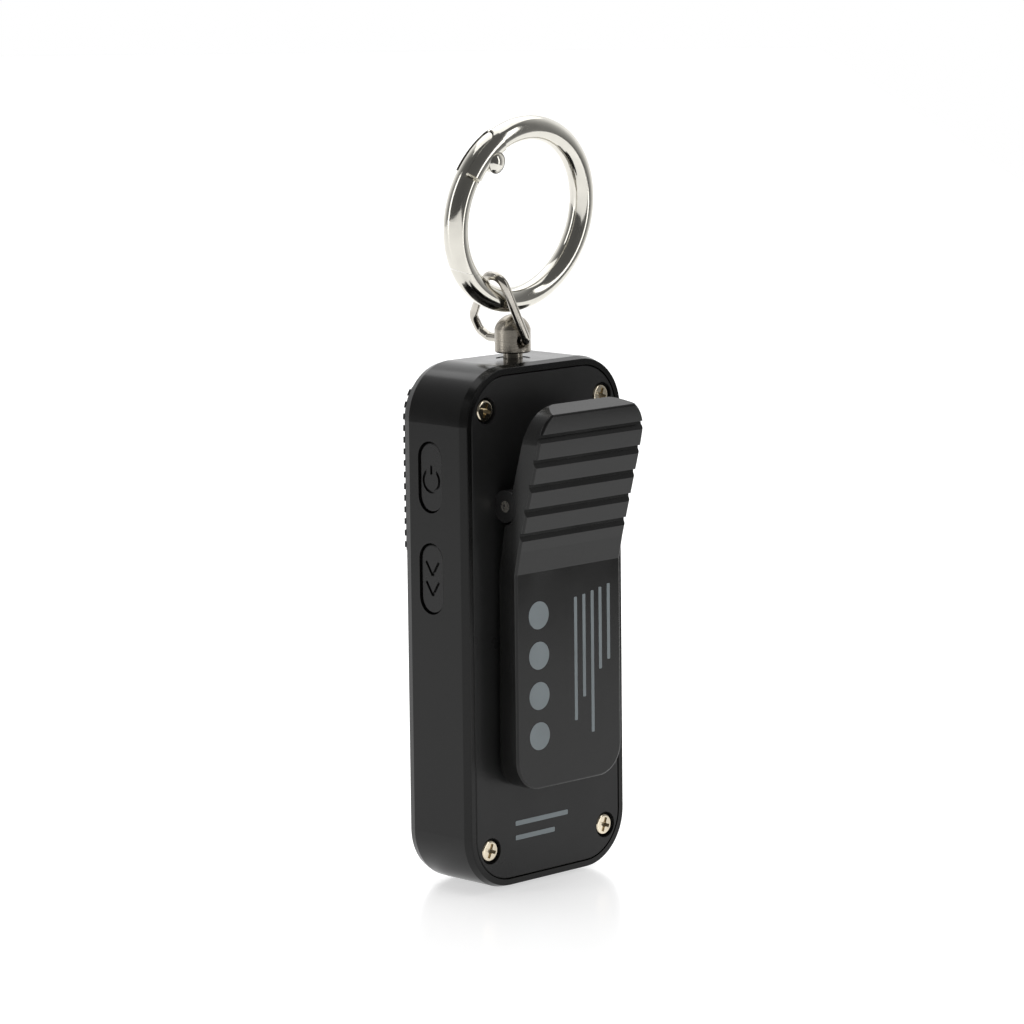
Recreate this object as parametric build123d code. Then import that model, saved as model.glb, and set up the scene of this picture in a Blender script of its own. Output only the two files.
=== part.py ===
"""Keychain flashlight: a flat lamp with a sprung clip, hung from a gated ring by a swivel.

The model is drawn with X across the lamp, Y towards the clip and Z up. Its zero is the middle
of the lamp's lower end, in the plane of the rear cover. Everything is moved at export, so
that the origin is the ring's hang point.
"""
from build123d import *
import os
from math import cos, pi, radians, sin

# Lamp body, mm
WIDTH = 31.5
DEPTH = 12.6
HEIGHT = 75.0
CORNER_R = 8.0
BAND_DEPTH = 1.2
BAND_INSET = 0.35
EDGE_ROUND = 0.15
SIDE_WALL = 2.4
FRONT_WALL = 1.6
INSIDE_FRONT = -DEPTH + FRONT_WALL

# Rear cover, gasket and screws
COVER_T = 1.6
COVER_INSET = 1.2
PARTING_GAP = 0.15
GASKET_T = 0.3
LEDGE_Y = -COVER_T - GASKET_T
SCREW_X = 11.6
SCREW_Z = (5.9, 69.05)
SCREW_R = 0.8
SCREW_LENGTH = 6.0
HEAD_R = 1.6
HEAD_T = 0.85
HEAD_RECESS = 0.15
COUNTERBORE_R = 1.9
BOSS_R = 2.2

# Lamp window and ribbed bezel
WINDOW_Z = 60.0
WINDOW_W = 17.8
WINDOW_H = 18.0
BEZEL_LOW_Z = 48.4
BEZEL_HIGH_Z = 71.6
BEZEL_INSET = 0.5
BEZEL_SEAT = 0.3
BEZEL_FACE_Y = -DEPTH - 0.3
BEZEL_LIP = 0.6
RIB_COUNT = 14
RIB_PITCH = 1.665
RIB_LOW_Z = 49.2
RIB_HEIGHT = 0.45
LENS_T = 1.0
LENS_REAR_Y = -11.3
CHIP_SIZE = 2.0
CHIP_T = 0.6
CHIP_PITCH = 3.4
LED_BOARD_FRONT_Y = -9.9
LED_BOARD_T = 0.8

# Boards, battery and socket
BOARD_REAR_Y = -7.8
BOARD_T = 0.8
BATTERY_SIZE = (19.0, 3.8, 38.0)
BATTERY_CENTRE = (-1.7, -4.1, 31.0)
USB_Y = -6.0
USB_W = 8.94
USB_H = 3.2
USB_SKIN = 0.3
USB_LOW_Z = 0.3
USB_DEPTH = 7.3

# Side keys
KEY_Y = -7.2
KEY_Z = {"power": 59.4, "mode": 44.9}
KEY_W = 4.6
KEY_H = 10.0
KEY_GAP = 0.12
KEY_RECESS = 0.25
KEY_TRAVEL = 0.35
SYMBOL_LINE = 0.42
SYMBOL_DEPTH = 0.3
SWITCH_Y = -6.6
PLUNGER_R = 0.6

# Clip
CLIP_HALF_W = 10.5
CLIP_LOW_Z = 14.7
CLIP_HIGH_Z = 69.97
CLIP_FRONT_Z = 68.95
CLIP_CORNER_R = 4.4
PAD_CORNER_R = 5.2
CLIP_ROUND = 0.35
PIVOT_Y = 1.9
PIVOT_Z = 55.5
PIN_R = 0.82
EAR_R = 2.3
EAR_IN_X = 8.2
EAR_OUT_X = 9.95
KNUCKLE_R = 1.75
GROOVE_LIP_Z = 52.1
GROOVE_PITCH = 3.55
GROOVE_COUNT = 5
GROOVE_DEPTH = 0.65
GROOVE_FLOOR = 0.52
GROOVE_BAND = 1.24

# Swivel and link
SWIVEL_Y = -6.3
NECK_R = 1.4
BUSHING_SEAT_Z = HEIGHT - 0.5
HEAD_BASE_Z = 75.85
HEAD_SWIVEL_R = 2.6
HOLE_Z = 77.6
HOLE_R = 0.95
HOLE_TURN = 6.5
RUNNING_GAP = 0.05
LINK_WIRE_R = 0.65
LINK_TILT = 28.0

# Ring
RING_R = 12.4
RING_WIRE_R = 1.75
RING_X = 0.9
RING_Y = SWIVEL_Y + 2.55
RING_Z = 95.75
RING_LEAN = 8.5
RIVET_ANGLE = 48.7
RIVET_RADIUS = 10.76
RIVET_R = 0.6
RIVET_HEAD_R = 1.4
RIVET_HEAD_T = 0.65
FORK_WIRE_R = 1.95
FORK_ANGLES = (29.5, 61.0)
LATCH_R = 15.97
GATE_GAP = 0.15
LATCH_GAP = 0.06
RIM_BEVEL = 0.15
SHOULDER_BEVEL = 0.35
SLOT_T = 2.0
SLOT_ANGLE = 55.5
TONGUE_T = 1.85
TONGUE_ANGLE = 54.9
LUG_R = 1.55
CHEEK_T = 3.4
SPRING_R = 0.9
SPRING_WIRE_R = 0.11
SPRING_LEG_Z = 0.72

RING_UP = Vector(0, sin(radians(RING_LEAN)), cos(radians(RING_LEAN)))
RING_FRONT = Vector(0, -cos(radians(RING_LEAN)), sin(radians(RING_LEAN)))
RING_CENTRE = Vector(RING_X, RING_Y, RING_Z)
RING_PLANE = Plane(origin=RING_CENTRE, x_dir=(1, 0, 0), z_dir=RING_FRONT)
HANG_POINT = RING_CENTRE + RING_UP * (RING_R - RING_WIRE_R)
RIVET = (RIVET_RADIUS * cos(radians(RIVET_ANGLE)), RIVET_RADIUS * sin(radians(RIVET_ANGLE)))
RIVET_FRAME = Pos(*RIVET) * Rot(0, 0, RIVET_ANGLE)

HOLE_DIR = Vector(sin(radians(HOLE_TURN)), cos(radians(HOLE_TURN)), 0)
HOLE_SIDE = Vector(cos(radians(HOLE_TURN)), -sin(radians(HOLE_TURN)), 0)
LINK_NORMAL = HOLE_SIDE * cos(radians(LINK_TILT)) - Vector(0, 0, 1) * sin(radians(LINK_TILT))
HOLE_CENTRE = Vector(0, SWIVEL_Y, HOLE_Z)


def slab(sketch, low_y, high_y):
    """Extrude a sketch drawn in X and Z between two Y planes."""
    return extrude(Plane.XZ.offset(-high_y) * sketch, high_y - low_y)


def bar(sketch, low_x, high_x):
    """Extrude a sketch drawn in Y and Z between two X planes."""
    return extrude(Plane.YZ.offset(low_x) * sketch, high_x - low_x)


def post(sketch, low_z, high_z):
    """Extrude a sketch drawn in X and Y between two Z planes."""
    return extrude(Plane.XY.offset(low_z) * sketch, high_z - low_z)


def block(x, y, z):
    """A box between pairs of low and high values."""
    middle = Pos((x[0] + x[1]) / 2, (y[0] + y[1]) / 2, (z[0] + z[1]) / 2)
    return middle * Box(x[1] - x[0], y[1] - y[0], z[1] - z[0])


def outline(inset):
    """The lamp's front view, made smaller all round by inset."""
    size = RectangleRounded(WIDTH - 2 * inset, HEIGHT - 2 * inset, CORNER_R - inset)
    return Pos(0, HEIGHT / 2) * size


def face_at(z, width, height, radius, x=0):
    """A rounded rectangle in the front view."""
    return Pos(x, z) * RectangleRounded(width, height, radius)


def rim_band(wide_y, narrow_y):
    """The bevelled band that joins the sides to the front or rear rim."""
    wide = Plane.XZ.offset(-wide_y) * outline(0)
    narrow = Plane.XZ.offset(-narrow_y) * outline(BAND_INSET)
    return loft([wide, narrow], ruled=True)


def edges_at_y(shape, y):
    """Edges that lie wholly in one Y plane."""
    return [e for e in shape.edges() if abs((e @ 0).Y - y) + abs((e @ 0.5).Y - y) < 1e-4]


def screw_points():
    return [(side * SCREW_X, z) for side in (-1, 1) for z in SCREW_Z]


def bezel_outline(extra=0):
    band = Pos(0, (BEZEL_LOW_Z + BEZEL_HIGH_Z) / 2) * Rectangle(
        WIDTH, BEZEL_HIGH_Z - BEZEL_LOW_Z + 2 * extra
    )
    return outline(BEZEL_INSET - extra) & band


def key_sketch(z, extra=0):
    return Pos(KEY_Y, z) * SlotOverall(KEY_H + 2 * extra, KEY_W + 2 * extra, rotation=90)


def make_housing():
    body = slab(outline(0), -DEPTH + BAND_DEPTH, -BAND_DEPTH)
    body += rim_band(-BAND_DEPTH, 0)
    body += rim_band(-DEPTH + BAND_DEPTH, -DEPTH)
    body = fillet(edges_at_y(body, 0) + edges_at_y(body, -DEPTH), EDGE_ROUND)
    body -= slab(outline(COVER_INSET), LEDGE_Y, 1)
    body -= slab(outline(SIDE_WALL), INSIDE_FRONT, LEDGE_Y)
    for x, z in screw_points():
        boss = slab(Pos(x, z) * Circle(BOSS_R), INSIDE_FRONT, LEDGE_Y)
        bore = slab(Pos(x, z) * Circle(SCREW_R), LEDGE_Y - SCREW_LENGTH, LEDGE_Y)
        body = body + boss - bore
    for x in (-8.0, 8.0):
        for z in (20.0, 44.0):
            body += slab(Pos(x, z) * Circle(1.2), INSIDE_FRONT, BOARD_REAR_Y - BOARD_T)
    for z in KEY_Z.values():
        body -= bar(key_sketch(z, KEY_GAP), WIDTH / 2 - SIDE_WALL - 0.5, WIDTH / 2 + 1)
    body -= slab(face_at(WINDOW_Z, WINDOW_W, WINDOW_H, 1.0), -DEPTH - 1, INSIDE_FRONT)
    body -= slab(bezel_outline(0.05), -DEPTH - 1, -DEPTH + BEZEL_SEAT)
    body -= post(Pos(0, USB_Y) * SlotOverall(USB_W + 0.1, USB_H + 0.1), -1, SIDE_WALL + 0.1)
    body -= post(Pos(0, SWIVEL_Y) * Circle(2.0), HEIGHT - 3, HEIGHT)
    body -= post(Pos(0, SWIVEL_Y) * Circle(2.45), BUSHING_SEAT_Z, HEIGHT + 1)
    return body


def make_cover():
    plate = slab(outline(COVER_INSET + PARTING_GAP), -COVER_T, 0)
    plate = chamfer(edges_at_y(plate, 0), 0.12)
    ear = bar(Pos(PIVOT_Y, PIVOT_Z) * Circle(EAR_R), EAR_IN_X, EAR_OUT_X)
    plate += [ear, mirror(ear, Plane.YZ)]
    plate -= bar(Pos(PIVOT_Y, PIVOT_Z) * Circle(PIN_R), -WIDTH, WIDTH)
    seat_y = -HEAD_RECESS - HEAD_T
    for x, z in screw_points():
        plate -= slab(Pos(x, z) * Circle(COUNTERBORE_R), seat_y, 1)
        plate -= slab(Pos(x, z) * Circle(SCREW_R + 0.1), -COVER_T - 1, 0)
    return plate


def make_screw(x, z):
    """A pan-head screw with a cross recess."""
    seat_y = -HEAD_RECESS - HEAD_T
    head = slab(Pos(x, z) * Circle(HEAD_R), seat_y, -HEAD_RECESS)
    head = fillet(edges_at_y(head, -HEAD_RECESS), 0.4)
    shank = slab(Pos(x, z) * Circle(SCREW_R), LEDGE_Y - SCREW_LENGTH + 0.4, seat_y)
    for turn in (20, 110):
        head -= slab(Pos(x, z) * Rot(0, 0, turn) * Rectangle(2.1, 0.5), seat_y + 0.2, 1)
    head -= slab(Pos(x, z) * Circle(0.45), seat_y + 0.1, 1)
    return head + shank


def make_gasket():
    strip = outline(COVER_INSET + PARTING_GAP) - outline(SIDE_WALL - 0.1)
    return slab(strip, LEDGE_Y, -COVER_T)


def make_bezel():
    plate = slab(bezel_outline(), BEZEL_FACE_Y, -DEPTH + BEZEL_SEAT)
    plate = fillet(edges_at_y(plate, BEZEL_FACE_Y), 0.12)
    ribs = Sketch()
    for number in range(RIB_COUNT):
        ribs += Pos(0, RIB_LOW_Z + number * RIB_PITCH) * Rectangle(WIDTH, 0.85)
    crown = slab(ribs & outline(BEZEL_INSET), BEZEL_FACE_Y - RIB_HEIGHT, BEZEL_FACE_Y)
    crown = chamfer(edges_at_y(crown, BEZEL_FACE_Y - RIB_HEIGHT), 0.2)
    frame = slab(face_at(WINDOW_Z, WINDOW_W + 1.6, WINDOW_H + 1.6, 1.8),
                 BEZEL_FACE_Y - RIB_HEIGHT, BEZEL_FACE_Y)
    frame = fillet(edges_at_y(frame, BEZEL_FACE_Y - RIB_HEIGHT), 0.15)
    hole = face_at(WINDOW_Z, WINDOW_W - 2 * BEZEL_LIP, WINDOW_H - 2 * BEZEL_LIP, 0.8)
    return plate + crown + frame - slab(hole, -DEPTH - 2, -DEPTH + 1)


def make_lens():
    return slab(face_at(WINDOW_Z, WINDOW_W - 0.2, WINDOW_H - 0.2, 0.9),
                LENS_REAR_Y - LENS_T, LENS_REAR_Y)


def make_reflector():
    """A frame with sloping walls between the lens and the chips."""
    size = (WINDOW_W - 0.2, WINDOW_H - 0.2)
    frame = slab(face_at(WINDOW_Z, *size, 0.9), LENS_REAR_Y, LED_BOARD_FRONT_Y)
    mouth = Plane.XZ.offset(-LENS_REAR_Y) * face_at(WINDOW_Z, size[0] - 1, size[1] - 1, 0.5)
    throat = Plane.XZ.offset(-LED_BOARD_FRONT_Y) * face_at(WINDOW_Z, 13.4, 13.4, 0.5)
    return frame - loft([mouth, throat], ruled=True)


def make_led_board():
    rear_y = LED_BOARD_FRONT_Y + LED_BOARD_T
    return slab(face_at(WINDOW_Z, 18.2, 18.4, 0.5), LED_BOARD_FRONT_Y, rear_y)


def make_chips():
    """A grid of square light-emitting chips."""
    chips = []
    for column in (-1.5, -0.5, 0.5, 1.5):
        for row in (-1.5, -0.5, 0.5, 1.5):
            sketch = face_at(WINDOW_Z + row * CHIP_PITCH, CHIP_SIZE, CHIP_SIZE, 0.2,
                             column * CHIP_PITCH)
            chips.append(slab(sketch, LED_BOARD_FRONT_Y - CHIP_T, LED_BOARD_FRONT_Y))
    return chips


def make_main_board():
    wide = face_at(37.2, 23.6, 55.4, 1.0)
    tongue = Pos(0, 6.2) * Rectangle(12.0, 7.0)
    return slab(wide + tongue, BOARD_REAR_Y - BOARD_T, BOARD_REAR_Y)


def make_board_parts():
    """Charger chip, driver chip, inductor and small passives on the rear of the board."""
    parts = [(-6.0, 56.0, 4.0, 4.0, 0.9), (0.5, 57.5, 3.2, 3.2, 1.4), (5.5, 53.0, 3.0, 4.2, 1.1)]
    for number in range(4):
        parts.append((-8.5 + 2.2 * number, 61.5, 1.2, 0.7, 0.5))
    return [block((x - w / 2, x + w / 2), (BOARD_REAR_Y, BOARD_REAR_Y + t), (z - h / 2, z + h / 2))
            for x, z, w, h, t in parts]


def make_battery():
    w, t, h = BATTERY_SIZE
    return Pos(*BATTERY_CENTRE) * fillet(Box(w, t, h).edges().filter_by(Axis.Z), 1.2)


def make_battery_foam():
    x, y, z = BATTERY_CENTRE
    rear_y = y + BATTERY_SIZE[1] / 2
    return block((x - 7, x + 7), (rear_y, rear_y + 0.5), (z - 15, z + 15))


def make_leads():
    """Two insulated leads from the cell's upper end to the board."""
    top_z = BATTERY_CENTRE[2] + BATTERY_SIZE[2] / 2
    leads = []
    for x in (-4.0, -2.4):
        points = [(x, -4.4, top_z), (x, -4.4, top_z + 3), (x, BOARD_REAR_Y, top_z + 3)]
        path = FilletPolyline(*points, radius=1.0)
        leads.append(sweep(Plane(path @ 0, z_dir=path % 0) * Circle(0.4), path=path))
    return leads


def make_usb_shell():
    outer = SlotOverall(USB_W, USB_H)
    inner = SlotOverall(USB_W - 2 * USB_SKIN, USB_H - 2 * USB_SKIN)
    tube = post(Pos(0, USB_Y) * (outer - inner), USB_LOW_Z, USB_LOW_Z + USB_DEPTH)
    return tube + post(Pos(0, USB_Y) * outer, USB_LOW_Z + USB_DEPTH - 0.4, USB_LOW_Z + USB_DEPTH)


def make_usb_tongue():
    block_z = USB_LOW_Z + USB_DEPTH - 0.4
    tongue = post(Pos(0, USB_Y) * Rectangle(6.7, 0.7), USB_LOW_Z + 0.6, block_z)
    inner = SlotOverall(USB_W - 2 * USB_SKIN, USB_H - 2 * USB_SKIN)
    return tongue + post(Pos(0, USB_Y) * inner, block_z - 1.2, block_z)


def power_symbol():
    """An arc open at the top, with a short bar in the opening."""
    ring = Circle(1.8) - Circle(1.8 - SYMBOL_LINE)
    gap = Pos(0, 1.6) * Rectangle(2.0, 1.8)
    return Pos(0, -0.5) * (ring - gap + Pos(0, 1.52) * Rectangle(SYMBOL_LINE, 1.28))


def chevron_symbol():
    """Two chevrons, one above the other, both pointing down."""
    marks = Sketch()
    for z in (-1.435, 1.435):
        for side in (-1, 1):
            stroke = Rectangle(2.35, SYMBOL_LINE, rotation=side * 57)
            marks += Pos(side * 0.65, z) * stroke
    return marks


def make_key(name):
    z = KEY_Z[name]
    face_x = WIDTH / 2 - KEY_RECESS
    wall_x = WIDTH / 2 - SIDE_WALL
    cap = bar(key_sketch(z), wall_x - 0.8, face_x)
    cap = fillet(cap.edges().group_by(Axis.X)[-1], 0.3)
    flange = bar(key_sketch(z, 0.65), wall_x - 0.8, wall_x - 0.2)
    symbol = power_symbol() if name == "power" else chevron_symbol()
    return cap + flange - bar(Pos(KEY_Y, z) * symbol, face_x - SYMBOL_DEPTH, face_x + 1)


def make_switch(name):
    z = KEY_Z[name]
    body = block((8.4, 11.4), (BOARD_REAR_Y, BOARD_REAR_Y + 2.4), (z - 2.2, z + 2.2))
    return body - bar(Pos(SWITCH_Y, z) * Circle(PLUNGER_R + RUNNING_GAP), 10.4, 12)


def make_plunger(name):
    key_x = WIDTH / 2 - SIDE_WALL - 0.8
    return bar(Pos(SWITCH_Y, KEY_Z[name]) * Circle(PLUNGER_R), 10.4 + KEY_TRAVEL + 0.1, key_x)


def clip_profile():
    """The clip's side view without grooves, as Y and Z points."""
    plate = Polyline((0.95, 20.0), (0.95, CLIP_LOW_Z), (4.5, CLIP_LOW_Z), (4.5, 46.0),
                     (5.2, 49.3), (8.4, 61.0))
    crown = ThreePointArc((8.4, 61.0), (9.6, 66.3), (9.98, CLIP_FRONT_Z))
    inside = Polyline((9.98, CLIP_FRONT_Z), (7.1, CLIP_HIGH_Z), (6.5, 66.65), (4.0, 58.0),
                      (2.3, 52.6), (1.17, 46.0), (0.95, 20.0))
    return make_face(plate + crown + inside)


def outside_y(z):
    """Y of the clip's outer face at a height."""
    if z <= 46.0:
        return 4.5
    if z <= 49.3:
        return 4.5 + (z - 46.0) * 0.7 / 3.3
    straight = 5.2 + (z - 49.3) * 3.2 / 11.7
    return straight - 0.0085 * max(0, z - 61.0) ** 2


def groove_cut(number):
    """One thumb groove: a square lip above, a short floor and a ramp out below."""
    lip_z = GROOVE_LIP_Z + number * GROOVE_PITCH
    floor_y = outside_y(lip_z) - GROOVE_DEPTH
    foot_z = lip_z - GROOVE_BAND
    points = [(12, lip_z), (floor_y, lip_z), (floor_y, lip_z - GROOVE_FLOOR),
              (outside_y(foot_z) + 0.02, foot_z), (12, foot_z)]
    cutter = make_face(Polyline(*points, close=True))
    return bar(cutter, -CLIP_HALF_W - 1, CLIP_HALF_W + 1)


def clip_outer_edges(shape):
    """The edge loop between the clip's outer face and its sides and ends."""
    chosen = []
    for edge in shape.edges():
        points = [edge @ 0, edge @ 0.5, edge @ 1]
        on_face = all(abs(p.Y - outside_y(p.Z)) < 0.09 for p in points)
        crease = abs(points[0].Z - points[2].Z) < 1e-4 and CLIP_LOW_Z + 1 < points[0].Z
        if on_face and not (crease and points[0].Z < CLIP_FRONT_Z - 1):
            chosen.append(edge)
    return chosen


def make_clip():
    middle_z = (CLIP_LOW_Z + CLIP_HIGH_Z) / 2
    plan = face_at(middle_z, 2 * CLIP_HALF_W, CLIP_HIGH_Z - CLIP_LOW_Z, CLIP_CORNER_R)
    plan &= face_at(CLIP_HIGH_Z / 2, 2 * CLIP_HALF_W, CLIP_HIGH_Z, PAD_CORNER_R)
    lever = bar(clip_profile(), -CLIP_HALF_W, CLIP_HALF_W) & slab(plan, 0, 12)
    lever = fillet(clip_outer_edges(lever), CLIP_ROUND)
    for number in range(GROOVE_COUNT):
        lever -= groove_cut(number)
    lever -= block((-8.7, 8.7), (0, 2.9), (22.0, 49.0))
    lever -= bar(Pos(PIVOT_Y, PIVOT_Z) * Circle(2.4), -5.9, 5.9)
    knuckle = Pos(PIVOT_Y, PIVOT_Z) * Circle(KNUCKLE_R)
    knuckle += Pos(PIVOT_Y + 1.3, PIVOT_Z) * Rectangle(2.6, 2 * KNUCKLE_R)
    notch = Pos(PIVOT_Y, PIVOT_Z) * Circle(EAR_R + 0.35)
    for side in (-1, 1):
        inner, outer = sorted((side * 6.0, side * 8.0))
        lever += bar(knuckle, inner, outer)
        inner, outer = sorted((side * 8.0, side * 12.0))
        lever -= bar(notch, inner, outer)
    return lever - bar(Pos(PIVOT_Y, PIVOT_Z) * Circle(PIN_R + RUNNING_GAP), -9, 9)


def make_clip_pin():
    return bar(Pos(PIVOT_Y, PIVOT_Z) * Circle(PIN_R), -EAR_OUT_X, EAR_OUT_X)


def make_clip_pad():
    """A soft strip with small teeth inside the clip's tip."""
    strip = block((-8.5, 8.5), (0.45, 0.95), (15.6, 20.0))
    for number in range(4):
        z = 16.15 + 1.1 * number
        tooth = make_face(Polyline((0.45, z - 0.5), (0.06, z), (0.45, z + 0.5), close=True))
        strip += bar(tooth, -8.5, 8.5)
    return strip


def make_clip_spring():
    """A torsion spring round the pin, with one leg on the cover and one on the thumb pad."""
    wire_r = 0.22
    coil_r = 1.3
    pitch = 0.6
    turns = 8.5
    half = pitch * turns / 2
    helix = Helix(pitch=pitch, height=2 * half, radius=coil_r)
    coil = sweep(Plane(helix @ 0, z_dir=helix % 0) * Circle(wire_r), path=helix, is_frenet=True)
    coil = Pos(-half, PIVOT_Y, PIVOT_Z) * Rot(0, 90, 0) * Rot(0, 0, -90) * coil
    cover_leg = Line((-half, PIVOT_Y - coil_r, PIVOT_Z), (-half, 0.26, PIVOT_Z + 5.5))
    pad_leg = Line((half, PIVOT_Y + coil_r, PIVOT_Z), (half, 4.35, PIVOT_Z + 5.5))
    legs = [sweep(Plane(leg @ 0, z_dir=leg % 0) * Circle(wire_r), path=leg)
            for leg in (cover_leg, pad_leg)]
    return [piece.solid() for piece in (coil, *legs)]


def make_swivel_head():
    """Turned head, neck and clip groove in one piece, with the cross hole."""
    lower = Polyline((0, 70.9), (NECK_R, 70.9), (NECK_R, 71.4), (0.95, 71.4), (0.95, 72.0),
                     (NECK_R, 72.0), (NECK_R, HEAD_BASE_Z), (HEAD_SWIVEL_R - 0.2, HEAD_BASE_Z),
                     (HEAD_SWIVEL_R, HEAD_BASE_Z + 0.2), (HEAD_SWIVEL_R, 79.2))
    dome = ThreePointArc((HEAD_SWIVEL_R, 79.2), (1.95, 80.4), (0.5, 81.25))
    close = Polyline((0.5, 81.25), (0, 81.3), (0, 70.9))
    profile = Plane.XZ * make_face(lower + dome + close)
    head = Pos(0, SWIVEL_Y, 0) * revolve(profile, Axis.Z)
    hole = Plane(origin=HOLE_CENTRE, z_dir=HOLE_DIR)
    head -= extrude(hole * Circle(HOLE_R), 4, both=True)
    for side in (-1, 1):
        mouth = Plane(origin=HOLE_CENTRE + HOLE_DIR * side * 2.45, z_dir=HOLE_DIR * side)
        head -= mouth * Cone(HOLE_R, HOLE_R + 0.5, 0.5)
    return head


def make_retaining_ring():
    ring = Circle(2.3) - Circle(0.95) - Pos(1.5, 0) * Rectangle(2.5, 1.3)
    return post(Pos(0, SWIVEL_Y) * ring, 71.45, 71.95)


def make_thrust_washer():
    return post(Pos(0, SWIVEL_Y) * (Circle(2.3) - Circle(NECK_R + RUNNING_GAP)), 72.0, 72.3)


def make_bushing():
    bore = Circle(NECK_R + RUNNING_GAP)
    sleeve = post(Pos(0, SWIVEL_Y) * (Circle(2.0) - bore), 72.3, BUSHING_SEAT_Z)
    flange = post(Pos(0, SWIVEL_Y) * (Circle(2.4) - bore), BUSHING_SEAT_Z, BUSHING_SEAT_Z + 0.4)
    return sleeve + flange


def make_link():
    """Bent wire link whose ends meet inside the swivel's cross hole."""
    corners = [(0.05, 0), (3.3, 0), (4.1, 10.9), (0.9, 10.9), (-7.0, 3.55), (-7.0, 1.1),
               (-5.5, 0), (-0.05, 0)]
    radii = [0.9, 1.55, 1.8, 2.0, 1.2, 1.0]
    plane = Plane(origin=HOLE_CENTRE, x_dir=HOLE_DIR, z_dir=LINK_NORMAL)
    path = plane * FilletPolyline(*corners, radius=radii)
    return sweep(Plane(path @ 0, z_dir=path % 0) * Circle(LINK_WIRE_R), path=path)


def sector(low_angle, high_angle):
    """A wedge about the ring's centre, in the ring's plane."""
    reach = 26
    count = 4
    points = [(0, 0)]
    for number in range(count + 1):
        angle = radians(low_angle + (high_angle - low_angle) * number / count)
        points.append((reach * cos(angle), reach * sin(angle)))
    return make_face(Polyline(*points, close=True))


def flat(sketch, thickness):
    """A plate about the ring's middle plane."""
    return Pos(0, 0, -thickness / 2) * extrude(sketch, thickness)


def gate_zone(high_angle, reach):
    """The part of the ring that swings, from the fork's end to an arc about the rivet."""
    return flat(sector(-80, high_angle) & (Pos(*RIVET) * Circle(reach)), 2 * CHEEK_T)


def round_ended(low_angle, high_angle, thickness):
    """A cut through the ring whose high end is half round as seen from outside."""
    turn = radians(high_angle)
    end = Plane(origin=(0, 0, 0), z_dir=(cos(turn), sin(turn), 0)) * Circle(thickness / 2)
    return flat(sector(low_angle, high_angle), thickness) + extrude(end, 26)


def slot_rim(body):
    """The edges where the slot's flat cheeks meet the fork's outer round."""
    rim = []
    for edge in body.edges():
        points = [edge @ t for t in (0, 0.5, 1)]
        flat_side = max(abs(abs(p.Z) - SLOT_T / 2) for p in points) < 1e-4
        if flat_side and min((p.X ** 2 + p.Y ** 2) ** 0.5 for p in points) > RING_R + 1:
            rim.append(edge)
    return rim


def make_ring_body():
    body = Torus(RING_R, RING_WIRE_R) - gate_zone(FORK_ANGLES[0], LATCH_R + LATCH_GAP / 2)
    fork = Torus(RING_R, FORK_WIRE_R) & flat(sector(*FORK_ANGLES), 2 * CHEEK_T)
    cheek = Pos(*RIVET) * Circle(LUG_R)
    body = body + fork - flat(cheek, 3 * CHEEK_T) + flat(cheek, CHEEK_T)
    body -= round_ended(5, SLOT_ANGLE, SLOT_T)
    body = chamfer(slot_rim(body), RIM_BEVEL)
    body -= flat(Pos(*RIVET) * Circle(RIVET_R), 2 * CHEEK_T)
    leg_hole = Plane((SPRING_R, 2.0, SPRING_LEG_Z), z_dir=(0, 1, 0)) * Circle(SPRING_WIRE_R)
    return RING_PLANE * (body - RIVET_FRAME * extrude(leg_hole, 1.6))


def shoulder_edges(gate, angle):
    """The two arcs where the gate's round meets its flat shoulder beside the tongue."""
    across = Vector(-sin(radians(angle)), cos(radians(angle)), 0)
    arcs = []
    for edge in gate.edges():
        heights = [abs((edge @ t).dot(across)) for t in (0, 0.5, 1)]
        if max(heights) < 1e-4 and abs((edge @ 0.5).Z) > TONGUE_T / 2 + 0.05:
            arcs.append(edge)
    return arcs


def make_gate():
    """The swinging part, its tongue in the fork's slot and a pocket for the spring."""
    shoulder = FORK_ANGLES[0] - GATE_GAP / RING_R * 180 / pi
    swinging = gate_zone(shoulder, LATCH_R - LATCH_GAP / 2)
    swinging += round_ended(25, TONGUE_ANGLE, TONGUE_T)
    gate = chamfer(shoulder_edges(Torus(RING_R, RING_WIRE_R) & swinging, shoulder), SHOULDER_BEVEL)
    gate += flat(Pos(*RIVET) * Circle(LUG_R), TONGUE_T)
    room = Polyline((1.15, 0), (1.15, 3.2), (-2.0, 3.2), (-1.2, 0), close=True)
    pocket = extrude(Pos(0, 0, 0.08) * (Circle(1.2) + make_face(room)), 2)
    bore = flat(Circle(RIVET_R + RUNNING_GAP), 2 * CHEEK_T)
    return RING_PLANE * (gate - RIVET_FRAME * (pocket + bore))


def make_rivet():
    """A shaft with a domed head at each end."""
    dome_r = (RIVET_HEAD_R ** 2 + RIVET_HEAD_T ** 2) / (2 * RIVET_HEAD_T)
    rivet = flat(Circle(RIVET_R), CHEEK_T)
    for side in (-1, 1):
        plane = Plane((0, 0, side * CHEEK_T / 2), z_dir=(0, 0, side))
        head = extrude(plane * Circle(RIVET_HEAD_R + 1), RIVET_HEAD_T)
        centre = side * (CHEEK_T / 2 + RIVET_HEAD_T - dome_r)
        rivet += head & (Pos(0, 0, centre) * Sphere(dome_r))
    return RING_PLANE * (Pos(*RIVET) * rivet)


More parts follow.
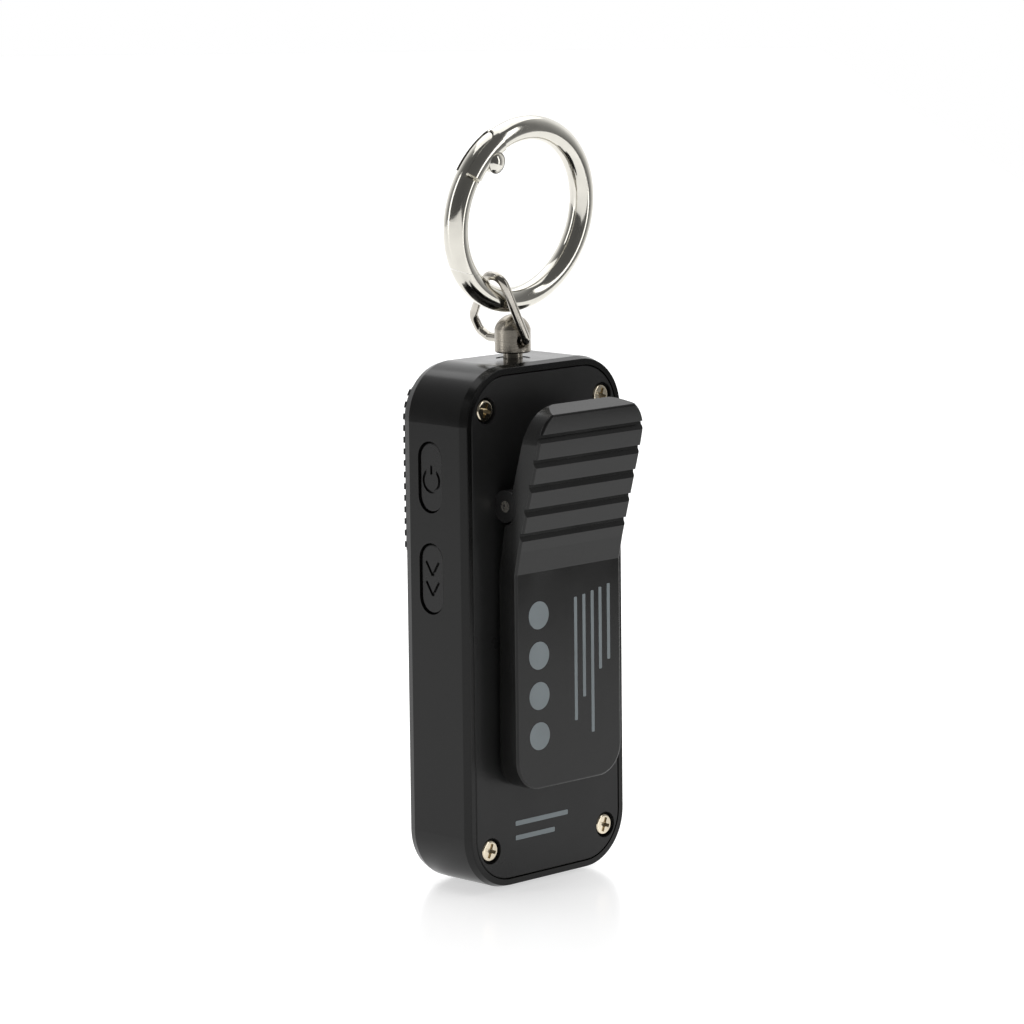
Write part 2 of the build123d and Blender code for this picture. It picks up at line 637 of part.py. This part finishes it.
def make_gate_spring():
    """A torsion spring round the rivet, with one leg in the ring and its coil in the gate."""
    turns = 2
    pitch = 0.26
    helix = Helix(pitch=pitch, height=turns * pitch, radius=SPRING_R)
    section = Circle(SPRING_WIRE_R)
    coil = sweep(Plane(helix @ 0, z_dir=helix % 0) * section, path=helix, is_frenet=True)
    leg = extrude(Plane((SPRING_R, 0, SPRING_LEG_Z), z_dir=(0, 1, 0)) * section, 3.5)
    coil = Pos(0, 0, SPRING_LEG_Z - turns * pitch) * coil
    return [RING_PLANE * (RIVET_FRAME * piece.solid()) for piece in (coil, leg)]


def write(name, shape):
    """Move a piece to the hang point's frame and write its STEP file."""
    pieces = shape if isinstance(shape, list) else shape.solids()
    moved = [Pos(*(-HANG_POINT)) * piece for piece in pieces]
    export_step(moved[0] if len(moved) == 1 else Compound(moved), f"parts/{name}.step")


def main():
    os.makedirs("parts", exist_ok=True)
    pieces = {
        "housing": make_housing(),
        "rear_cover": make_cover(),
        "cover_screws": [make_screw(x, z).solid() for x, z in screw_points()],
        "cover_gasket": make_gasket(),
        "front_bezel": make_bezel(),
        "lens": make_lens(),
        "reflector": make_reflector(),
        "led_board": make_led_board(),
        "led_chips": make_chips(),
        "main_board": make_main_board(),
        "board_parts": make_board_parts(),
        "battery": make_battery(),
        "battery_foam": make_battery_foam(),
        "battery_leads": make_leads(),
        "usb_shell": make_usb_shell(),
        "usb_tongue": make_usb_tongue(),
        "clip_lever": make_clip(),
        "clip_pin": make_clip_pin(),
        "clip_pad": make_clip_pad(),
        "clip_spring": make_clip_spring(),
        "swivel_head": make_swivel_head(),
        "retaining_ring": make_retaining_ring(),
        "thrust_washer": make_thrust_washer(),
        "swivel_bushing": make_bushing(),
        "wire_link": make_link(),
        "ring_body": make_ring_body(),
        "ring_gate": make_gate(),
        "gate_rivet": make_rivet(),
        "gate_spring": make_gate_spring(),
    }
    for name in KEY_Z:
        pieces[f"{name}_key"] = make_key(name)
        pieces[f"{name}_switch"] = make_switch(name)
        pieces[f"{name}_plunger"] = make_plunger(name)
    for name, shape in pieces.items():
        write(name, shape)


main()
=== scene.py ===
import math

import bpy
from mathutils import Matrix, Vector


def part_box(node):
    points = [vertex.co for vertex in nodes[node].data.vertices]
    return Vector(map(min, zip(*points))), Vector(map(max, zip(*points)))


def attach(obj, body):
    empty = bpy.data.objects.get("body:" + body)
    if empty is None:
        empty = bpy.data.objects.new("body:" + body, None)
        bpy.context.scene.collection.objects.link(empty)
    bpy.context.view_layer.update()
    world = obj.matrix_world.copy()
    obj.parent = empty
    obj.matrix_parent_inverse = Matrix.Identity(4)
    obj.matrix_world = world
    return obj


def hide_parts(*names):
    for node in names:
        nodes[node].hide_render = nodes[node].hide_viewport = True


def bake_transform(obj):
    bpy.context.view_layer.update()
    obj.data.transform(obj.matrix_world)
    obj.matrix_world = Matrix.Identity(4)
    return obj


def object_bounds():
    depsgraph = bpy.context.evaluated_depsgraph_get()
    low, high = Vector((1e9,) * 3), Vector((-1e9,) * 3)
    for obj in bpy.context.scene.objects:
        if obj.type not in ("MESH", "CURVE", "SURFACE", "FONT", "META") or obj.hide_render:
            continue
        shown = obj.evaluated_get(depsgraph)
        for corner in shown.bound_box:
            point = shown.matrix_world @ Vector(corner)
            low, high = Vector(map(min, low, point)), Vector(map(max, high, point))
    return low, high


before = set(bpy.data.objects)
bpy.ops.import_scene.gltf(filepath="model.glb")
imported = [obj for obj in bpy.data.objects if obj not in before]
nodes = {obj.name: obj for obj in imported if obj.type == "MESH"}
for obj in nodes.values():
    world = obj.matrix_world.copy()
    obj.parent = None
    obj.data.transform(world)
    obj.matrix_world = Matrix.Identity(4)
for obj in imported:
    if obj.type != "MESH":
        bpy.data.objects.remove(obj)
cad_low, cad_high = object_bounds()
MM = 0.001


# ---------------------------------------------------------------- camera

CAMERA_AZIMUTH = math.radians(135.476)
CAMERA_ELEVATION = math.radians(8.786)
CAMERA_ROLL = math.radians(-0.643)
CAMERA_DISTANCE = 622.7 * MM
CAMERA_LENS = 152.1
AIM_RIGHT = -0.756 * MM
AIM_UP = 15.094 * MM
AIM_DEPTH = 6 * MM
SENSOR_WIDTH = 36


def add_camera():
    """Looks at the lamp's middle from behind its key side, through a long lens."""
    low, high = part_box("housing")
    back = Vector((math.sin(CAMERA_AZIMUTH) * math.cos(CAMERA_ELEVATION),
                   -math.cos(CAMERA_AZIMUTH) * math.cos(CAMERA_ELEVATION),
                   math.sin(CAMERA_ELEVATION)))
    level = (-back).cross(Vector((0, 0, 1))).normalized()
    upright = level.cross(-back)
    right = level * math.cos(CAMERA_ROLL) + upright * math.sin(CAMERA_ROLL)
    up = upright * math.cos(CAMERA_ROLL) - level * math.sin(CAMERA_ROLL)
    middle = Vector(((low.x + high.x) / 2, high.y - AIM_DEPTH, (low.z + high.z) / 2))
    data = bpy.data.cameras.new("camera")
    data.lens = CAMERA_LENS
    data.sensor_width = SENSOR_WIDTH
    data.clip_start = 0.01
    data.clip_end = 20
    camera = bpy.data.objects.new("camera", data)
    place = middle + back * CAMERA_DISTANCE + right * AIM_RIGHT + up * AIM_UP
    turn = Matrix((right, up, back)).transposed().to_4x4()
    camera.matrix_world = Matrix.Translation(place) @ turn
    bpy.context.scene.collection.objects.link(camera)
    bpy.context.scene.camera = camera


# ---------------------------------------------------------------- materials

class Shader:
    """A short way to build a node material."""

    def __init__(self, name):
        self.material = bpy.data.materials.new(name)
        self.material.use_nodes = True
        self.tree = self.material.node_tree
        self.bsdf = self.tree.nodes["Principled BSDF"]
        self.place = self.node("ShaderNodeTexCoord").outputs["Object"]

    def node(self, kind, **values):
        made = self.tree.nodes.new(kind)
        for key, value in values.items():
            if key in made.inputs:
                made.inputs[key].default_value = value
            else:
                setattr(made, key, value)
        return made

    def link(self, source, target):
        self.tree.links.new(source, target)

    def noise(self, per_mm, detail=3, rough=0.5, stretch=(1, 1, 1)):
        """Noise whose cells are 1 / per_mm millimetres wide."""
        mapping = self.node("ShaderNodeMapping")
        mapping.inputs["Scale"].default_value = [v / MM for v in stretch]
        self.link(self.place, mapping.inputs["Vector"])
        made = self.node("ShaderNodeTexNoise", Scale=per_mm, Detail=detail, Roughness=rough)
        self.link(mapping.outputs["Vector"], made.inputs["Vector"])
        return made.outputs["Fac"]

    def ramp(self, source, low, high, start=0.3, end=0.7):
        """Maps a source from start..end to low..high."""
        made = self.node("ShaderNodeMapRange")
        made.inputs["From Min"].default_value = start
        made.inputs["From Max"].default_value = end
        made.inputs["To Min"].default_value = low
        made.inputs["To Max"].default_value = high
        self.link(source, made.inputs["Value"])
        return made.outputs["Result"]

    def colours(self, source, dark, light):
        made = self.node("ShaderNodeMix", data_type="RGBA")
        made.inputs[6].default_value = (*dark, 1)
        made.inputs[7].default_value = (*light, 1)
        self.link(source, made.inputs[0])
        self.link(made.outputs[2], self.bsdf.inputs["Base Color"])

    def bump(self, source, depth, strength=1.0, under=None):
        made = self.node("ShaderNodeBump", Strength=strength, Distance=depth)
        self.link(source, made.inputs["Height"])
        if under is not None:
            self.link(under, made.inputs["Normal"])
        self.link(made.outputs["Normal"], self.bsdf.inputs["Normal"])
        return made.outputs["Normal"]


def scaled(colour, factor):
    return tuple(v * factor for v in colour)


def moulded(name, colour, roughness, grain=5.0, depth=0.003, gloss=0.5):
    """Textured moulded plastic: fine spark grain, slow mottling and handled patches."""
    s = Shader(name)
    fine = s.noise(grain, detail=4, rough=0.65)
    slow = s.noise(0.12, detail=3)
    s.colours(s.ramp(slow, 0, 1), scaled(colour, 0.9), scaled(colour, 1.1))
    s.link(s.ramp(slow, roughness - 0.04, roughness + 0.04), s.bsdf.inputs["Roughness"])
    s.bump(fine, depth * MM, 0.6)
    s.bsdf.inputs["Specular IOR Level"].default_value = gloss
    return s.material


def metal(name, colour, roughness, stretch=(1, 1, 1), depth=0.0015, per_mm=2.0, contrast=0.25):
    """Plated or turned metal with fine tool or polishing marks along one direction."""
    s = Shader(name)
    s.bsdf.inputs["Metallic"].default_value = 1
    marks = s.noise(per_mm, detail=5, rough=0.7, stretch=stretch)
    slow = s.noise(0.35, detail=2)
    s.colours(s.ramp(slow, 0, 1), scaled(colour, 1 - contrast), colour)
    s.link(s.ramp(marks, roughness * 0.7, roughness * 1.4), s.bsdf.inputs["Roughness"])
    s.bump(marks, depth * MM, 0.5)
    return s.material


def rubber(name, colour, roughness=0.7):
    s = Shader(name)
    fine = s.noise(9, detail=5, rough=0.7)
    slow = s.noise(0.4, detail=3)
    s.colours(s.ramp(slow, 0, 1), scaled(colour, 0.85), scaled(colour, 1.15))
    s.link(s.ramp(fine, roughness - 0.08, roughness + 0.08), s.bsdf.inputs["Roughness"])
    s.bump(fine, 0.008 * MM, 0.6)
    return s.material


def lens_plastic(name):
    """Clear lens with faint moulding waves."""
    s = Shader(name)
    s.bsdf.inputs["Base Color"].default_value = (0.93, 0.95, 0.95, 1)
    s.bsdf.inputs["Transmission Weight"].default_value = 1
    s.bsdf.inputs["IOR"].default_value = 1.49
    wave = s.noise(0.3, detail=1)
    s.link(s.ramp(wave, 0.02, 0.06), s.bsdf.inputs["Roughness"])
    s.bump(wave, 0.02 * MM, 0.2)
    return s.material


def phosphor(name):
    """Yellow phosphor gel with fine grain."""
    s = Shader(name)
    grain = s.noise(14, detail=4)
    s.colours(s.ramp(grain, 0, 1), (0.75, 0.55, 0.08), (0.95, 0.8, 0.25))
    s.link(s.ramp(grain, 0.3, 0.5), s.bsdf.inputs["Roughness"])
    s.bump(grain, 0.01 * MM, 0.4)
    return s.material


def paint(names, material):
    for name in names:
        slots = nodes[name].data.materials
        if not slots:
            slots.append(material)
        for number in range(len(slots)):
            slots[number] = material


def paint_all():
    body = moulded("body_black", (0.0055, 0.0055, 0.0053), 0.2, gloss=0.27)
    cover = moulded("cover_black", (0.021, 0.021, 0.021), 0.3, gloss=0.22)
    clip = moulded("clip_black", (0.0115, 0.0115, 0.0112), 0.22, gloss=0.32)
    bezel = moulded("bezel_black", (0.009, 0.009, 0.009), 0.3, grain=7, gloss=0.4)
    key = moulded("key_black", (0.007, 0.007, 0.007), 0.27, grain=8, gloss=0.32)
    paint(["housing"], body)
    paint(["rear_cover"], cover)
    paint(["clip_lever"], clip)
    paint(["front_bezel"], bezel)
    paint(["power_key", "mode_key"], key)
    paint(["clip_pad", "cover_gasket"], rubber("soft_black", (0.015, 0.015, 0.015)))
    paint(["battery_foam"], rubber("foam_grey", (0.16, 0.16, 0.16), 0.9))
    paint(["battery_leads"], rubber("lead_red", (0.4, 0.02, 0.02), 0.45))
    paint(["lens"], lens_plastic("clear_lens"))
    paint(["reflector"], moulded("reflector_white", (0.8, 0.8, 0.79), 0.25, grain=2))
    paint(["led_board"], moulded("board_white", (0.7, 0.71, 0.7), 0.4, grain=4))
    paint(["led_chips"], phosphor("chip_yellow"))
    paint(["main_board"], moulded("board_green", (0.01, 0.11, 0.045), 0.3, grain=3))
    paint(["board_parts", "usb_tongue", "power_plunger", "mode_plunger"],
          moulded("part_black", (0.02, 0.02, 0.02), 0.4, grain=6))
    paint(["battery"], metal("pouch_silver", (0.6, 0.61, 0.63), 0.35))
    paint(["usb_shell", "power_switch", "mode_switch"], metal("drawn_steel", (0.55, 0.55, 0.56), 0.25))
    paint(["cover_screws"], metal("screw_nickel", (0.82, 0.73, 0.57), 0.16, per_mm=4))
    paint(["swivel_head", "retaining_ring", "thrust_washer"],
          metal("turned_nickel", (0.42, 0.385, 0.33), 0.28, stretch=(0.15, 0.15, 6), depth=0.009))
    paint(["swivel_bushing"], moulded("bushing_black", (0.006, 0.006, 0.006), 0.22, grain=4))
    paint(["wire_link"], metal("wire_nickel", (0.56, 0.53, 0.475), 0.16, per_mm=3))
    paint(["ring_body", "ring_gate", "gate_rivet"],
          metal("ring_nickel", (0.68, 0.66, 0.6), 0.1, per_mm=1.2, depth=0.0008, contrast=0.08))
    paint(["gate_spring", "clip_spring"], metal("spring_steel", (0.45, 0.45, 0.46), 0.3))
    paint(["clip_pin"], metal("pin_steel", (0.78, 0.74, 0.67), 0.3))


# ---------------------------------------------------------------- printed marks

PLATE_FACE = 4.5
INK_T = 0.04
INK_PROUD = 0.02
PRINT_LINES = ((-8.0, 42.6, 31.6), (-6.3, 42.3, 30.4), (-4.7, 42.0, 21.4), (-3.0, 41.7, 26.8),
               (-1.3, 41.5, 23.6))
PRINT_DOTS = (39.8, 34.0, 28.2, 22.4)
COVER_LINES = ((9.1, 6.7, -3.9), (7.0, 6.7, -1.2))
CLIP_BAR_HALF = 0.3
CLIP_BAR_ROUND = 0.15
COVER_BAR_HALF = 0.35
COVER_BAR_ROUND = 0.17
DOT_X = 6.1
DOT_R = 2.0
DOT_ROUND = 1.99


def rounded(x_low, x_high, z_low, z_high, radius, steps=6):
    """Corner points of a rounded rectangle, in millimetres."""
    points = []
    corners = ((x_high - radius, z_high - radius), (x_low + radius, z_high - radius),
               (x_low + radius, z_low + radius), (x_high - radius, z_low + radius))
    for number, (x, z) in enumerate(corners):
        for step in range(steps + 1):
            turn = math.radians(90 * number + 90 * step / steps)
            points.append((x + radius * math.cos(turn), z + radius * math.sin(turn)))
    return points


def add_print(name, shapes, height, material, body):
    """Thin layers of ink on a face that looks along +Y, at a height above the cover."""
    low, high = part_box("housing")
    middle = (low.x + high.x) / 2
    vertices, faces = [], []
    for points in shapes:
        start = len(vertices)
        count = len(points)
        for y in (height - INK_T + INK_PROUD, height + INK_PROUD):
            vertices += [(middle + x * MM, high.y + y * MM, low.z + z * MM) for x, z in points]
        faces.append([start + n for n in range(count)])
        faces.append([start + count + n for n in reversed(range(count))])
        for n in range(count):
            after = (n + 1) % count
            faces.append([start + after, start + n, start + count + n, start + count + after])
    mesh = bpy.data.meshes.new(name)
    mesh.from_pydata(vertices, [], faces)
    mesh.materials.append(material)
    made = bpy.data.objects.new(name, mesh)
    bpy.context.scene.collection.objects.link(made)
    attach(made, body)


def add_prints():
    """Plain bars and dots in place of lettering."""
    ink = moulded("ink_grey", (0.2, 0.232, 0.245), 0.45, grain=6, depth=0.002)
    bars = [rounded(x - CLIP_BAR_HALF, x + CLIP_BAR_HALF, low, high, CLIP_BAR_ROUND)
            for x, high, low in PRINT_LINES]
    dots = [rounded(DOT_X - DOT_R, DOT_X + DOT_R, z - DOT_R, z + DOT_R, DOT_ROUND, steps=12)
            for z in PRINT_DOTS]
    add_print("clip_print", bars + dots, PLATE_FACE, ink, "clip")
    bars = [rounded(right, left, z - COVER_BAR_HALF, z + COVER_BAR_HALF, COVER_BAR_ROUND)
            for z, left, right in COVER_LINES]
    add_print("cover_print", bars, 0, ink, "lamp")


# ---------------------------------------------------------------- clip spring


def add_winding_spring():
    """A copy of the clip's spring, put in place of the imported one, which is hidden."""
    plain = nodes["clip_spring"]
    mesh = plain.data.copy()
    mesh.transform(plain.matrix_world)
    spring = bpy.data.objects.new("winding_spring", mesh)
    bpy.context.scene.collection.objects.link(spring)
    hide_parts("clip_spring")
    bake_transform(spring)


# ---------------------------------------------------------------- floor and light

FLOOR_DROP = 0.2 * MM
FLOOR_LEFT = 0.7
FLOOR_RIGHT = 0.22
FLOOR_BEHIND = 2.5
FLOOR_FRONT = 0.5
FLOOR_WHITE = 0.9
FLOOR_ROUGHNESS = 0.18
FLOOR_GLOW = 0.56
TOP_HEIGHT = 0.5
TOP_BEHIND = 0.15
TOP_WIDTH = 0.6
TOP_POWER = 1.5
STRIP_ASIDE = 0.5
STRIP_AHEAD = 0.15
STRIP_HEIGHT = 0.1
STRIP_WIDTH = 0.1
STRIP_LENGTH = 0.6
STRIP_POWER = 0.4
SURROUND = ((0.0, 0.1), (0.35, 0.13), (0.5, 0.2), (0.66, 0.5), (0.84, 1.15))


def add_floor(back, right):
    """A white sheet that reaches further to the key side than to the clip side."""
    mesh = bpy.data.meshes.new("floor")
    start = Vector((0, 0, cad_low.z - FLOOR_DROP))
    corners = [start + right * x + back * y
               for x, y in ((-FLOOR_LEFT, -FLOOR_BEHIND), (-FLOOR_LEFT, FLOOR_FRONT),
                            (FLOOR_RIGHT, FLOOR_FRONT), (FLOOR_RIGHT, -FLOOR_BEHIND))]
    mesh.from_pydata(corners, [], [(0, 1, 2, 3)])
    floor = bpy.data.objects.new("floor", mesh)
    bpy.context.scene.collection.objects.link(floor)
    s = Shader("floor_white")
    s.bsdf.inputs["Base Color"].default_value = (FLOOR_WHITE, FLOOR_WHITE, FLOOR_WHITE, 1)
    s.bsdf.inputs["Roughness"].default_value = FLOOR_ROUGHNESS
    s.bsdf.inputs["Emission Color"].default_value = (1, 1, 1, 1)
    s.bsdf.inputs["Emission Strength"].default_value = FLOOR_GLOW
    mesh.materials.append(s.material)


def add_area(name, place, aim, width, height, power):
    data = bpy.data.lights.new(name, "AREA")
    data.shape = "RECTANGLE"
    data.size = width
    data.size_y = height
    data.energy = power
    light = bpy.data.objects.new(name, data)
    light.location = place
    light.rotation_mode = "QUATERNION"
    light.rotation_quaternion = (Vector(aim) - Vector(place)).to_track_quat("-Z", "Y")
    bpy.context.scene.collection.objects.link(light)


def add_surround(back):
    """A white sweep behind the lamp that darkens round the sides and towards the front."""
    world = bpy.data.worlds.new("studio")
    world.use_nodes = True
    tree = world.node_tree
    shade = tree.nodes["Background"]
    place = tree.nodes.new("ShaderNodeTexCoord")
    along = tree.nodes.new("ShaderNodeVectorMath")
    along.operation = "DOT_PRODUCT"
    along.inputs[1].default_value = -back
    spread = tree.nodes.new("ShaderNodeMapRange")
    spread.inputs["From Min"].default_value = -1
    ramp = tree.nodes.new("ShaderNodeValToRGB")
    stops = ramp.color_ramp.elements
    while len(stops) < len(SURROUND):
        stops.new(0.5)
    for stop, (position, level) in zip(stops, SURROUND):
        stop.position = position
        stop.color = (level, level, level, 1)
    path = tree.nodes.new("ShaderNodeLightPath")
    mix = tree.nodes.new("ShaderNodeMix")
    mix.data_type = "RGBA"
    mix.inputs[7].default_value = (1, 1, 1, 1)
    tree.links.new(place.outputs["Generated"], along.inputs[0])
    tree.links.new(along.outputs["Value"], spread.inputs["Value"])
    tree.links.new(spread.outputs["Result"], ramp.inputs["Fac"])
    tree.links.new(path.outputs["Is Camera Ray"], mix.inputs[0])
    tree.links.new(ramp.outputs["Color"], mix.inputs[6])
    tree.links.new(mix.outputs[2], shade.inputs["Color"])
    bpy.context.scene.world = world


def add_lights(back, right):
    middle = (cad_low + cad_high) / 2
    up = Vector((0, 0, 1))
    place = middle + up * TOP_HEIGHT - back * TOP_BEHIND
    add_area("top", place, middle, TOP_WIDTH, TOP_WIDTH, TOP_POWER)
    for name, side in (("right", right), ("left", -right)):
        place = middle + side * STRIP_ASIDE + back * STRIP_AHEAD + up * STRIP_HEIGHT
        add_area(name, place, middle, STRIP_WIDTH, STRIP_LENGTH, STRIP_POWER)
    add_surround(back)
    bpy.context.scene.view_settings.view_transform = "Standard"


add_camera()
paint_all()
add_prints()
add_winding_spring()
towards_camera = Vector((math.sin(CAMERA_AZIMUTH), -math.cos(CAMERA_AZIMUTH), 0))
camera_right = Vector((math.cos(CAMERA_AZIMUTH), math.sin(CAMERA_AZIMUTH), 0))
add_floor(towards_camera, camera_right)
add_lights(towards_camera, camera_right)
